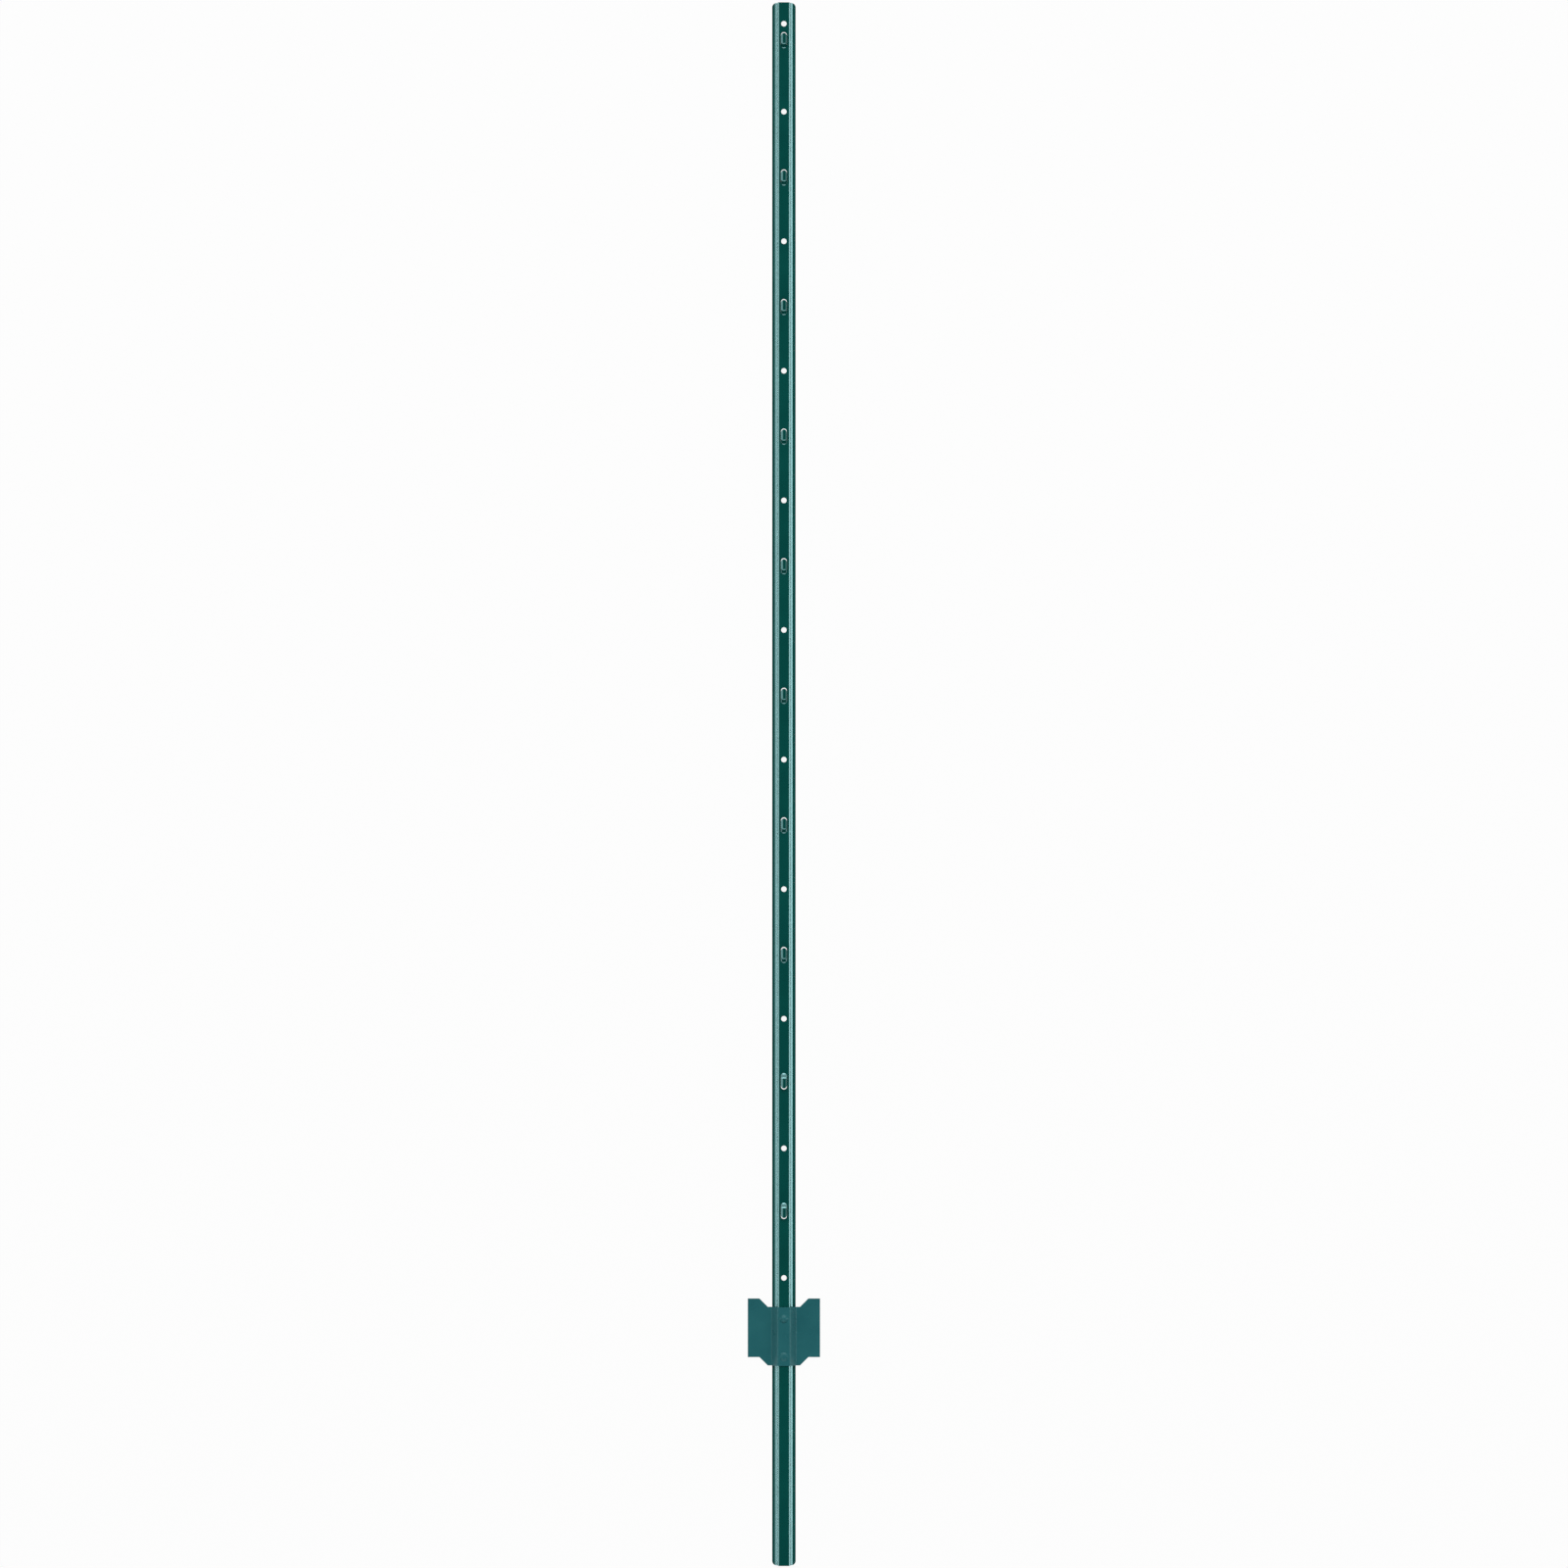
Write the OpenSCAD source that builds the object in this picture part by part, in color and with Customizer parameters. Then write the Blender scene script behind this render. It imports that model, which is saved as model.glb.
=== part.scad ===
// Light fence post of green painted sheet steel, lying on its open side.
//
// The post is one strip, roll-formed into a channel: a flat web, two steep walls
// and two flared lips. Its web has a row of round holes and a row of wire lugs,
// tongues that a punch has cut free on three sides and set forward with a joggle.
// A winged anchor plate is riveted over the web near the end that is driven.
//
// X runs across the post, Y along it towards its top end, and Z out of the web.
// The backs of the lips lie on Z = 0, and the origin is halfway along the post.

/* [Post] */
// Length of the post
post_length = 2133.6; // [1500:0.1:2500]
// Width over the two lips
post_w = 32; // [30:0.5:44]
// Depth, from the backs of the lips to the face of the web
post_d = 14; // [13:0.5:20]
// Thickness of the post's sheet
sheet_t = 1.5; // [1:0.1:2]
// Width of the web's flat
web_flat = 12.8; // [11.5:0.1:15]
// Inside radius of the bend beside the web
corner_r = 0.5; // [0.3:0.1:1.5]
// Radius of the flare that turns each wall out into its lip, on the web's side
flare_r = 4; // [2:0.1:4.5]
// Width of each lip's flat
lip_w = 3; // [1.5:0.1:4]
// Radius that rounds the lips' corners at the top end
top_corner_r = 6; // [1:0.5:6]
// Radius that rounds the lips' corners at the driven end
foot_corner_r = 6; // [1:0.5:6]

/* [Round holes] */
// Diameter of the round holes
hole_d = 7.5; // [5:0.1:10]
// Distance from the top end to the single hole there
top_hole = 29.3; // [15:0.1:35]
// Distance from the top end to the first hole of the row
first_hole = 149.3; // [90:0.1:200]
// Spacing of the holes in the row
hole_pitch = 176.8; // [130:0.1:260]

/* [Wire lugs] */
// Distance from the top end to the middle of the first lug's window
top_lug = 51.4; // [47:0.1:75]
// Distance from each hole of the row down to the middle of its lug's window
lug_drop = 89.4; // [30:0.1:100]
// The same distance for the lugs that are turned over
turned_lug_drop = 85.8; // [30:0.1:100]
// How many of the lowest lugs are turned over
turned_lugs = 2; // [0:1:4]
// Width of a lug
lug_w = 8; // [6:0.1:8.6]
// Length of a lug, from its crease on the web to its tip
lug_length = 19.8; // [15:0.1:24]
// Gap between a lug's tip and the end of its window
tip_gap = 1.4; // [0.5:0.1:3]
// Height of a lug's face above the web
lug_rise = 4.8; // [4.4:0.1:7]
// Slope of the joggle that carries a lug forward
joggle_angle = 42; // [38:1:55]
// Radius of the bend between a lug's joggle and its tongue
lug_bend_r = 3.5; // [2:0.1:5]
// Radius of the bend between the web and a lug's joggle
lug_foot_r = 4; // [2:0.1:6]
// Radius of the crown across a lug
lug_crown_r = 10; // [8:0.1:16]
// Gap that the punch leaves along each side of a lug
shear_gap = 0.05; // [0.05:0.05:0.5]

/* [Anchor plate] */
// Distance from the driven end to the middle of the plate
plate_from_foot = 313; // [150:1:400]
// Width over the plate's wings
plate_w = 98.6; // [85:0.1:130]
// Height of the plate
plate_h = 80; // [65:0.5:110]
// Thickness of the plate's sheet
plate_t = 1.5; // [1:0.1:2.5]
// How far the wings stand above the plate's middle
wing_step = 11.4; // [4:0.1:20]
// Width of the plate's middle, between the slanted steps
shoulder_w = 44; // [42:0.1:60]
// Extra radius of the plate's bends over those of the post
bend_ease = 0.3; // [0.1:0.05:0.5]
// Gap across the post between each lip's edge and the flat of the wing
wing_gap = 2; // [2:0.1:4]
// Radius of the crease where each wing turns out
crease_r = 2; // [1:0.1:2.5]

/* [Rivets] */
// Diameter of the rivets' heads
rivet_head_d = 12; // [9:0.1:12.8]
// Height of the upper rivet's domed head
upper_head_h = 2.4; // [1.5:0.1:3.5]
// Height of the lower rivet's head, which is set flatter
lower_head_h = 1.3; // [0.8:0.1:3.5]
// Diameter of the rivets' shanks
shank_d = 5; // [4:0.1:6]
// Gap between a shank and its hole
rivet_fit = 0.1; // [0.05:0.01:0.2]
// Diameter of the formed tails behind the web
tail_d = 8.6; // [7.5:0.1:10]
// Height of the formed tails
tail_h = 1.6; // [1:0.1:2.5]
// Distance from the plate's top edge to the upper rivet
upper_rivet_drop = 15.8; // [10:0.1:20]
// Distance between the two rivets
rivet_spacing = 52; // [30:0.1:55]

/* [Hidden] */
$fn = 64;

POST_GREEN = [0.03, 0.29, 0.26];
PLATE_GREEN = [0.17, 0.37, 0.38];

// Every arc is larger than its flats allow by this much, so that it crosses them
ARC_LAP = 0.002;
// How far a cutting shape runs past what it cuts
PAST = 1;

top_y = post_length / 2;
web_z = post_d;
web_back_z = post_d - sheet_t;
lip_z = sheet_t;
lip_x = post_w / 2 - lip_w;

plate_y = plate_from_foot - top_y;
plate_top_y = plate_y + plate_h / 2;
plate_z = web_z + plate_t;
wing_z = lip_z + plate_t;
wing_x = post_w / 2 + wing_gap;

// The row of holes stops one hole's width short of the plate
hole_room = top_y - plate_top_y - wing_step - first_hole - hole_d;
hole_count = 1 + floor(hole_room / hole_pitch);
lug_count = hole_count - 1;

window_w = lug_w + 2 * shear_gap;
window_length = lug_length + tip_gap;
window_start = sheet_t / sin(joggle_angle) - sheet_t / tan(joggle_angle);

rivet_grip = sheet_t + plate_t;
upper_rivet_y = plate_top_y - upper_rivet_drop;
lower_rivet_y = upper_rivet_y - rivet_spacing;

// Profiles, drawn across the post with Z as their second axis

module both_sides() {
    children();
    mirror([1, 0]) children();
}

// All that lies under a bent face: a flat on top, a wall down each side and a
// foot that runs out level. inset is how deep in the sheet the face lies.
module under_face(width, flat, face_z, outer_r, foot_x, foot_z, foot_r, inset) {
    corner = [flat / 2, face_z - outer_r];
    flare = [foot_x, foot_z + foot_r];
    span = flare - corner;
    slope = atan2(-span.y, span.x) + asin((outer_r + foot_r) / norm(span));
    outward = [sin(slope), cos(slope)];
    bend_r = outer_r - inset;
    hollow_r = foot_r + inset;
    to_point = [tan(slope / 2), 1];
    far_x = width / 2 + inset;
    side = [
        corner + bend_r * to_point,
        flare - hollow_r * outward,
        [foot_x, foot_z - inset],
        [far_x, foot_z - inset],
        [far_x, -PAST - inset],
    ];
    other_side = [for (i = [len(side) - 1 : -1 : 0]) [-side[i].x, side[i].y]];
    difference() {
        polygon(concat(side, other_side));
        both_sides() {
            translate(corner)
                difference() {
                    polygon(2 * bend_r * [[0, 0], [0, 1], to_point, outward]);
                    circle(bend_r + ARC_LAP);
                }
            translate(flare) circle(hollow_r + ARC_LAP);
        }
    }
}

// The sheet between a bent face and the same face moved back by the thickness
module bent_sheet(width, t, flat, face_z, outer_r, foot_x, foot_z, foot_r) {
    difference() {
        under_face(width, flat, face_z, outer_r, foot_x, foot_z, foot_r, 0);
        under_face(width, flat, face_z, outer_r, foot_x, foot_z, foot_r, t);
    }
}

module post_section() {
    outer_r = corner_r + sheet_t;
    bent_sheet(post_w, sheet_t, web_flat, web_z, outer_r, lip_x, lip_z, flare_r);
}

// The plate's bends share the post's flat, and are a little wider than its bends
module plate_section() {
    outer_r = corner_r + sheet_t + plate_t + bend_ease;
    bent_sheet(plate_w, plate_t, web_flat, plate_z, outer_r, wing_x, wing_z, crease_r);
}

// Stands a profile up and runs it along Y, from one place to another
module along_post(from_y, to_y) {
    translate([0, to_y, 0]) rotate([90, 0, 0]) linear_extrude(to_y - from_y) children();
}

// Post

// What rounds off a corner whose edges meet at [r, r]
module corner_waste(r) {
    difference() {
        square(r + PAST);
        circle(r + ARC_LAP);
    }
}

module lip_corner_waste(r) {
    both_sides()
        translate([post_w / 2 - r, top_y - r, -PAST])
            linear_extrude(post_d) corner_waste(r);
}

// A straight-sided opening with round ends, along Y
module slot(width, from_y, to_y) {
    r = width / 2;
    translate([-r, from_y + r]) square([width, to_y - from_y - width]);
    for (y = [from_y + r, to_y - r]) translate([0, y]) circle(r);
}

module web_cut(y) {
    translate([0, y, web_back_z - PAST]) linear_extrude(sheet_t + 2 * PAST) children();
}

// All that lies behind one crowned face of a lug, with the crown's ridge along Y
// at the origin
module behind_crown(inset) {
    width = lug_w + PAST + inset;
    deep = 2 * lug_length + inset;
    along_post(-2 * lug_length, 2 * lug_length)
        translate([0, -lug_crown_r])
            difference() {
                translate([-width / 2, -deep]) square([width, deep + lug_crown_r]);
                difference() {
                    translate([-width, 0]) square([2 * width, lug_crown_r + PAST]);
                    circle(lug_crown_r - inset);
                }
            }
}

// All that lies behind the face of a bend, set across the corner between two faces
// that meet at the origin, where a bend of radius r would touch it
module behind_bend(r, inset) {
    half = joggle_angle / 2;
    rotate([half, 0, 0]) translate([0, 0, r * (1 / cos(half) - 1)]) behind_crown(inset);
}

// What lies behind the faces of a lug: foot, joggle, bend and tongue
module behind_lug(inset) {
    intersection() {
        union() {
            rotate([joggle_angle, 0, 0]) behind_crown(inset);
            behind_bend(lug_foot_r, inset);
        }
        translate([0, lug_rise / tan(joggle_angle), lug_rise])
            behind_bend(-lug_bend_r, inset);
        translate([0, 0, lug_rise]) behind_crown(inset);
    }
}

// A lug with its crease at the origin and its tip towards +Y
module lug() {
    intersection() {
        difference() {
            behind_lug(0);
            behind_lug(sheet_t);
        }
        translate([0, 0, -sheet_t])
            linear_extrude(sheet_t + lug_rise + PAST) slot(lug_w, -lug_w, lug_length);
    }
}

module lug_window() {
    slot(window_w, window_start, window_length);
}

// Runs its children for each lug, with the origin at the lug's crease on the web.
// A turned lug has its tip towards the driven end.
module at_lugs() {
    translate([0, top_y - top_lug - window_length / 2, 0]) children();
    for (i = [0 : lug_count - 1]) {
        hole_y = top_y - first_hole - i * hole_pitch;
        if (i < lug_count - turned_lugs)
            translate([0, hole_y - lug_drop - window_length / 2, 0]) children();
        else
            translate([0, hole_y - turned_lug_drop + window_length / 2, 0])
                rotate(180) children();
    }
}

module post_channel() {
    color(POST_GREEN) {
        difference() {
            along_post(-top_y, top_y) post_section();
            lip_corner_waste(top_corner_r);
            mirror([0, 1]) lip_corner_waste(foot_corner_r);
            web_cut(top_y - top_hole) circle(d = hole_d);
            for (i = [0 : hole_count - 1])
                web_cut(top_y - first_hole - i * hole_pitch) circle(d = hole_d);
            at_lugs() web_cut(0) lug_window();
            for (y = [upper_rivet_y, lower_rivet_y])
                web_cut(y) circle(d = shank_d + 2 * rivet_fit);
        }
        at_lugs() translate([0, 0, web_z]) lug();
    }
}

// Anchor plate

// The blank in plan. Its lower edge repeats the upper one, so that blanks come off
// a strip with no waste.
module plate_outline() {
    inner_x = shoulder_w / 2;
    outer_x = inner_x + wing_step;
    upper_edge = [
        [-plate_w, wing_step],
        [-outer_x, wing_step],
        [-inner_x, 0],
        [inner_x, 0],
        [outer_x, wing_step],
        [plate_w, wing_step],
    ];
    lower_edge = [for (i = [len(upper_edge) - 1 : -1 : 0]) upper_edge[i] - [0, plate_h]];
    translate([0, plate_top_y]) polygon(concat(upper_edge, lower_edge));
}

module anchor_plate() {
    color(PLATE_GREEN)
        difference() {
            intersection() {
                along_post(plate_y - plate_h, plate_y + plate_h) plate_section();
                translate([0, 0, -PAST])
                    linear_extrude(plate_z + 2 * PAST) plate_outline();
            }
            for (y = [upper_rivet_y, lower_rivet_y])
                translate([0, y, web_z - PAST])
                    cylinder(d = shank_d + 2 * rivet_fit, h = plate_t + 2 * PAST);
        }
}

// Rivets

// Half of a low dome's profile, its flat on the first axis
module dome_profile(d, h) {
    r = (d * d / 4 + h * h) / (2 * h);
    intersection() {
        translate([0, h - r]) circle(r);
        square([d, h + PAST]);
    }
}

// A rivet with the seat of its head at the origin
module rivet(head_h) {
    overlap = min(head_h, tail_h) / 2;
    rotate_extrude() {
        dome_profile(rivet_head_d, head_h);
        translate([0, -rivet_grip - overlap])
            square([shank_d / 2, rivet_grip + 2 * overlap]);
        translate([0, -rivet_grip]) mirror([0, 1]) dome_profile(tail_d, tail_h);
    }
}

module upper_rivet() {
    color(PLATE_GREEN) translate([0, upper_rivet_y, plate_z]) rivet(upper_head_h);
}

module lower_rivet() {
    color(PLATE_GREEN) translate([0, lower_rivet_y, plate_z]) rivet(lower_head_h);
}

post_channel();
anchor_plate();
upper_rivet();
lower_rivet();
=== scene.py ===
# %% [markdown]
# # A light fence post in green paint
#
# The post is a strip of sheet steel, roll-formed into a channel, punched for wire
# lugs and bolts, and painted green. A winged anchor plate is riveted over it. The
# solids already carry every form that a hand could feel, so this lesson is about
# paint on metal: how a thin coat looks on flats, on tight bends and on steep walls,
# and how far, narrow lights draw a form that is mostly edges.

import math

import bpy
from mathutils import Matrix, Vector


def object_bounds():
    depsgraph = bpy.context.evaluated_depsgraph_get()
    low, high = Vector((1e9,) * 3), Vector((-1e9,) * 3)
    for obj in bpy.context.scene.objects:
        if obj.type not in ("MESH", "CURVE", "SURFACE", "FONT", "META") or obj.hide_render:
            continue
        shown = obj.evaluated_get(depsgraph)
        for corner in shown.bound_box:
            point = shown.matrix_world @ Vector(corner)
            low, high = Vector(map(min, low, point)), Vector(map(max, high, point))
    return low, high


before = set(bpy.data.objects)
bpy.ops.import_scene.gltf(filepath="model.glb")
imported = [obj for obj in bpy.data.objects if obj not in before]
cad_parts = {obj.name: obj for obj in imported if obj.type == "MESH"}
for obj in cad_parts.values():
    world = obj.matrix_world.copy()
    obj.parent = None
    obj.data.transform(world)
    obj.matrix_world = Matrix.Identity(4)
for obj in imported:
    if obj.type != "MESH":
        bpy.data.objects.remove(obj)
cad_low, cad_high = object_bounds()
print("the post is", [round(side, 4) for side in cad_high - cad_low], "m")

# %% [markdown]
# ## Writing shaders as sums
#
# A material is a graph of nodes, and wiring each node by hand hides the idea. Here
# a small class stands for one output socket, so that adding and multiplying read as
# ordinary arithmetic. The result is the same graph, but the recipe for the paint
# fits in a few lines that can be read aloud.


# %% A socket that can be added and multiplied
class Signal:
    def __init__(self, tree, socket):
        self.tree, self.socket = tree, socket

    def math(self, operation, other):
        settings = {"operation": operation}
        return self.tree.node("ShaderNodeMath", settings, {0: self, 1: other})

    def __add__(self, other):
        return self.math("ADD", other)

    def __mul__(self, other):
        return self.math("MULTIPLY", other)

    __radd__, __rmul__ = __add__, __mul__


print("a signal adds and multiplies")

# %% [markdown]
# ## A recipe for nodes
#
# Everything else that a graph needs goes through one method, which takes a node's
# type, its settings and the values or signals of its sockets. A ramp and a mix of
# two colours come up so often that each has a method of its own.


# %% A recipe that adds any node
class Recipe:
    def __init__(self, owner):
        owner.use_nodes = True
        self.owner = owner
        self.nodes, self.links = owner.node_tree.nodes, owner.node_tree.links
        self.nodes.clear()

    def node(self, kind, settings=None, values=None, output=0):
        made = self.nodes.new(kind)
        for key, value in (settings or {}).items():
            setattr(made, key, value)
        for key, value in (values or {}).items():
            if isinstance(value, Signal):
                self.links.new(value.socket, made.inputs[key])
            else:
                made.inputs[key].default_value = value
        return Signal(self, made.outputs[output])

    def ramp(self, factor, stops):
        made = self.nodes.new("ShaderNodeValToRGB")
        points = made.color_ramp.elements
        while len(points) < len(stops):
            points.new(0.5)
        for point, (place, grey) in zip(points, stops):
            point.position, point.color = place, (grey, grey, grey, 1)
        self.links.new(factor.socket, made.inputs[0])
        return Signal(self, made.outputs[0])

    def mix_colour(self, factor, first, second):
        values = {0: factor, 6: first, 7: second}
        return self.node("ShaderNodeMix", {"data_type": "RGBA"}, values, output=2)

    def finish(self, shader, kind="ShaderNodeOutputMaterial"):
        made = self.nodes.new(kind)
        self.links.new(shader.socket, made.inputs["Surface"])
        return self.owner


print("recipes are ready")

# %% [markdown]
# ## The green coat
#
# The paint is a dark blue-green, glossy on the post and more matt on the plate. A
# sprayed or dipped coat is never quite even: it pools and thins over centimetres, it
# has the faint skin of an orange over millimetres, and dust leaves tiny pale specks.
# Three noises at those three sizes carry this. They read the object's own
# coordinates, so the coat stays put when the camera moves.
#
# A painted sheet could be one plain colour with one roughness. On a form this narrow
# that looks like plastic, because nothing breaks the long highlights.

# %% The sizes and colours that every coat shares
POOL_SIZE, SKIN_SIZE, DUST_SIZE = 0.045, 0.0016, 0.0009
FINE_DETAIL, POOL_DETAIL = 2.0, 3.0
DUST_COLOUR = (0.25, 0.4, 0.4, 1)
DUST_STOPS = [(0.62, 0), (0.74, 1)]
THICKNESS_STOPS = [(0.3, 0), (0.7, 1)]
ROUGHNESS_SPREAD = 0.1
CLEAR_COAT_INDEX, CLEAR_COAT_ROUGHNESS = 1.5, 0.08
print("the coat pools over", POOL_SIZE * 1000, "mm")


# %% Mix the paint
def paint(name, deep, thin, tint, index, roughness, gloss, skin_depth, speck):
    coat = Recipe(bpy.data.materials.new(name))
    place = coat.node("ShaderNodeTexCoord", output=3)

    def noise(size, detail=FINE_DETAIL):
        values = {"Vector": place, "Scale": 1 / size, "Detail": detail}
        return coat.node("ShaderNodeTexNoise", None, values)

    pool = noise(POOL_SIZE, POOL_DETAIL)
    skin = noise(SKIN_SIZE)
    dust = coat.ramp(noise(DUST_SIZE), DUST_STOPS)
    thickness = coat.ramp(pool, THICKNESS_STOPS)
    colour = coat.mix_colour(thickness, (*deep, 1), (*thin, 1))
    colour = coat.mix_colour(dust * speck, colour, DUST_COLOUR)
    relief = {"Strength": 1.0, "Distance": skin_depth, "Height": skin}
    surface = {
        "Base Color": colour,
        "Roughness": pool * ROUGHNESS_SPREAD + (roughness - ROUGHNESS_SPREAD / 2),
        "Normal": coat.node("ShaderNodeBump", None, relief),
        "IOR": index,
        "Specular Tint": (*tint, 1),
        "Coat Weight": gloss,
        "Coat IOR": CLEAR_COAT_INDEX,
        "Coat Roughness": CLEAR_COAT_ROUGHNESS,
    }
    return coat.finish(coat.node("ShaderNodeBsdfPrincipled", None, surface))


# The index of the post's coat is well above that of real paint, about 1.5. With it,
# lamps of an ordinary strength draw highlights as strong as studio lamps draw.
post_paint = paint(
    name="post_coat",
    deep=(0.0, 0.079, 0.068),
    thin=(0.0004, 0.095, 0.081),
    tint=(0.42, 0.96, 1.0),
    index=2.6,
    roughness=0.1,
    gloss=1.0,
    skin_depth=0.000002,
    speck=0.02,
)
plate_paint = paint(
    name="plate_coat",
    deep=(0.018, 0.129, 0.146),
    thin=(0.024, 0.153, 0.168),
    tint=(0.7, 1.0, 1.0),
    index=1.35,
    roughness=0.28,
    gloss=0.0,
    skin_depth=0.000003,
    speck=0.03,
)
print("paint is mixed for", post_paint.name, "and", plate_paint.name)

# %% [markdown]
# ## Which piece wears which coat
#
# The plate is lighter and more matt than the post, as a part painted apart from it
# would be. The rivets look like the plate, so they share its paint. Each piece gets
# one material over all its faces, edges too, as a sprayed or dipped part does. A
# bare edge could be given a second material, but none shows on this post.


# %% Coat the pieces
def coat_piece(node, material):
    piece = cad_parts[node]
    piece.data.materials.clear()
    piece.data.materials.append(material)
    for face in piece.data.polygons:
        face.material_index = 0
    print(node, "wears", material.name)


coat_piece("post_channel", post_paint)
coat_piece("anchor_plate", plate_paint)
coat_piece("upper_rivet", plate_paint)
coat_piece("lower_rivet", plate_paint)

# %% [markdown]
# ## The floor
#
# The post lies on a white sheet. A sheet lit well enough to look white would flood
# the paint with light, so the sheet is made to look nearly white to the camera and
# to reflections by itself, and only part of it answers the lamps. That part is what
# keeps the soft shadow beside the post.


# %% Lay the white sheet
SHEET_SIZE = 200
SHEET_GAP = 0.0002
OWN_LIGHT = 0.94
SHEET_COLOUR = (0.85, 0.85, 0.85, 1)


def white_sheet(name):
    sheet = Recipe(bpy.data.materials.new(name))
    path = sheet.nodes.new("ShaderNodeLightPath")
    camera, glossy, through = (
        Signal(sheet, path.outputs[ray])
        for ray in ("Is Camera Ray", "Is Glossy Ray", "Is Transmission Ray")
    )
    seen = camera + glossy + through
    lit = sheet.node("ShaderNodeBsdfDiffuse", None, {"Color": SHEET_COLOUR})
    white = sheet.node("ShaderNodeEmission", None, {"Strength": 1.0})
    parts = {0: seen * OWN_LIGHT, 1: lit, 2: white}
    return sheet.finish(sheet.node("ShaderNodeMixShader", None, parts))


sheet_height = cad_low.z - SHEET_GAP
bpy.ops.mesh.primitive_plane_add(size=SHEET_SIZE, location=(0, 0, sheet_height))
floor = bpy.context.object
floor.name = "floor"
floor.data.materials.append(white_sheet("white_sheet"))
print("the sheet lies at z =", round(floor.location.z, 4))

# %% [markdown]
# ## Light
#
# Seen from straight above, a long channel mirrors only what lies in one plane: a
# face that leans outward by some angle shows the light that hangs twice as far down
# from the zenith. So the lights are planned as a map of that plane. A strip at each
# side draws the tight bends as bright lines. It is far away and narrow, so that it
# hardly lights the walls, yet just wide enough that both ends of the post still
# mirror it. The left side fades upward in two steps, a glow and a haze, because the
# left band of the post fades towards its lip. The strip beyond the top end is for
# the ramps of the turned lugs, and the box above it gives the rivets a lit side.
#
# Each box is described as a viewer at the origin sees it: the side that it hangs
# on, its lowest and highest angle above the floor, and how bright its face is. One
# lamp of each size could be moved about by hand instead, but then nothing would say
# which bend it is meant for.


# %% Hang the soft boxes
def soft_box(name, side, angles, place, brightness):
    low_edge, high_edge = (math.radians(angle) for angle in angles)
    distance, width = place
    middle = (low_edge + high_edge) / 2
    height = 2 * distance * math.tan((high_edge - low_edge) / 2)
    data = bpy.data.lights.new(name, "AREA")
    data.shape = "RECTANGLE"
    data.size, data.size_y = width, height
    data.energy = brightness * math.pi * width * height
    lamp = bpy.data.objects.new(name, data)
    bpy.context.scene.collection.objects.link(lamp)
    outward = Vector((*side, 0)) * math.cos(middle)
    lamp.location = distance * (outward + Vector((0, 0, math.sin(middle))))
    lamp.rotation_euler = (-lamp.location).to_track_quat("-Z", "Y").to_euler()
    lamp.visible_camera = False
    print(name, "is", round(width, 2), "by", round(height, 2), "m")


RIGHT, LEFT, HEAD = (1, 0), (-1, 0), (0, 1)
FAR, NEAR = (60, 13.5), (6, 9.0)

soft_box("right_strip", RIGHT, (0, 44), FAR, 3.3)
soft_box("left_strip", LEFT, (0, 20), FAR, 3.3)
soft_box("left_glow", LEFT, (20, 50), FAR, 0.85)
soft_box("left_haze", LEFT, (50, 76), FAR, 0.75)
soft_box("head_strip", HEAD, (0, 14), NEAR, 0.8)
soft_box("head_box", HEAD, (46, 60), NEAR, 2.0)

# %% [markdown]
# ## A ring of sky
#
# The flats take their even light from the sky itself. An even sky would also stand
# at the zenith, where the flats would mirror it and turn pale, and at the sides,
# where it would light the walls. So the sky is a ring: dark overhead, dark near the
# floor, dimmer towards the two sides of the post and a little brighter beyond its
# top end. A ramp on the height of the view, one on its square across the post and a
# sum along the post say so, and their product is the strength.

# %% Light the air around the post
RING_LIGHT = 2.0
RING_STOPS = [
    (0.0, 0.01), (0.36, 0.01), (0.42, 1.0), (0.88, 1.0), (0.92, 0.01), (1.0, 0.01)
]
SIDE_STOPS = [(0.1, 1.0), (0.25, 0.12)]
HEAD_LEAN = 0.35

air = Recipe(bpy.data.worlds.new("air"))
direction = air.node("ShaderNodeTexCoord", output=0)
across, along, height = (
    air.node("ShaderNodeSeparateXYZ", None, {0: direction}, output=part)
    for part in range(3)
)
ring = air.ramp(height, RING_STOPS)
sides = air.ramp(across * across, SIDE_STOPS)
lean = along * HEAD_LEAN + 1.0
strength = ring * sides * lean * RING_LIGHT
sky = air.node("ShaderNodeBackground", None, {"Strength": strength})
bpy.context.scene.world = air.finish(sky, "ShaderNodeOutputWorld")
print("the ring of sky gives", RING_LIGHT)

# %% [markdown]
# ## Camera
#
# The picture shows the post from straight in front of its web, from about six
# times its own length away, which leaves only a trace of perspective. The post fills
# the picture's height. The lens follows from those two facts by similar triangles. A
# new camera looks straight down, which is where the post lies.

# %% Set up the camera
WEB_HEIGHT = 0.014
DISTANCE = 13.0
PICTURE_HEIGHT = 2.1394
SENSOR = 36.0
AIM_X, AIM_Y = 0.00013, 0.0002

camera_data = bpy.data.cameras.new("camera")
camera_data.sensor_fit = "HORIZONTAL"
camera_data.sensor_width = SENSOR
camera_data.lens = SENSOR * DISTANCE / PICTURE_HEIGHT
camera = bpy.data.objects.new("camera", camera_data)
bpy.context.scene.collection.objects.link(camera)
camera.location = (AIM_X, AIM_Y, WEB_HEIGHT + DISTANCE)
bpy.context.scene.camera = camera
bpy.context.scene.view_settings.view_transform = "Standard"
print("the lens is", round(camera_data.lens, 1), "mm long")

# %% [markdown]
# ## The end
#
# The scene is complete. The box of the solids was printed after the import.

# %% Finish
print("the scene is set up")
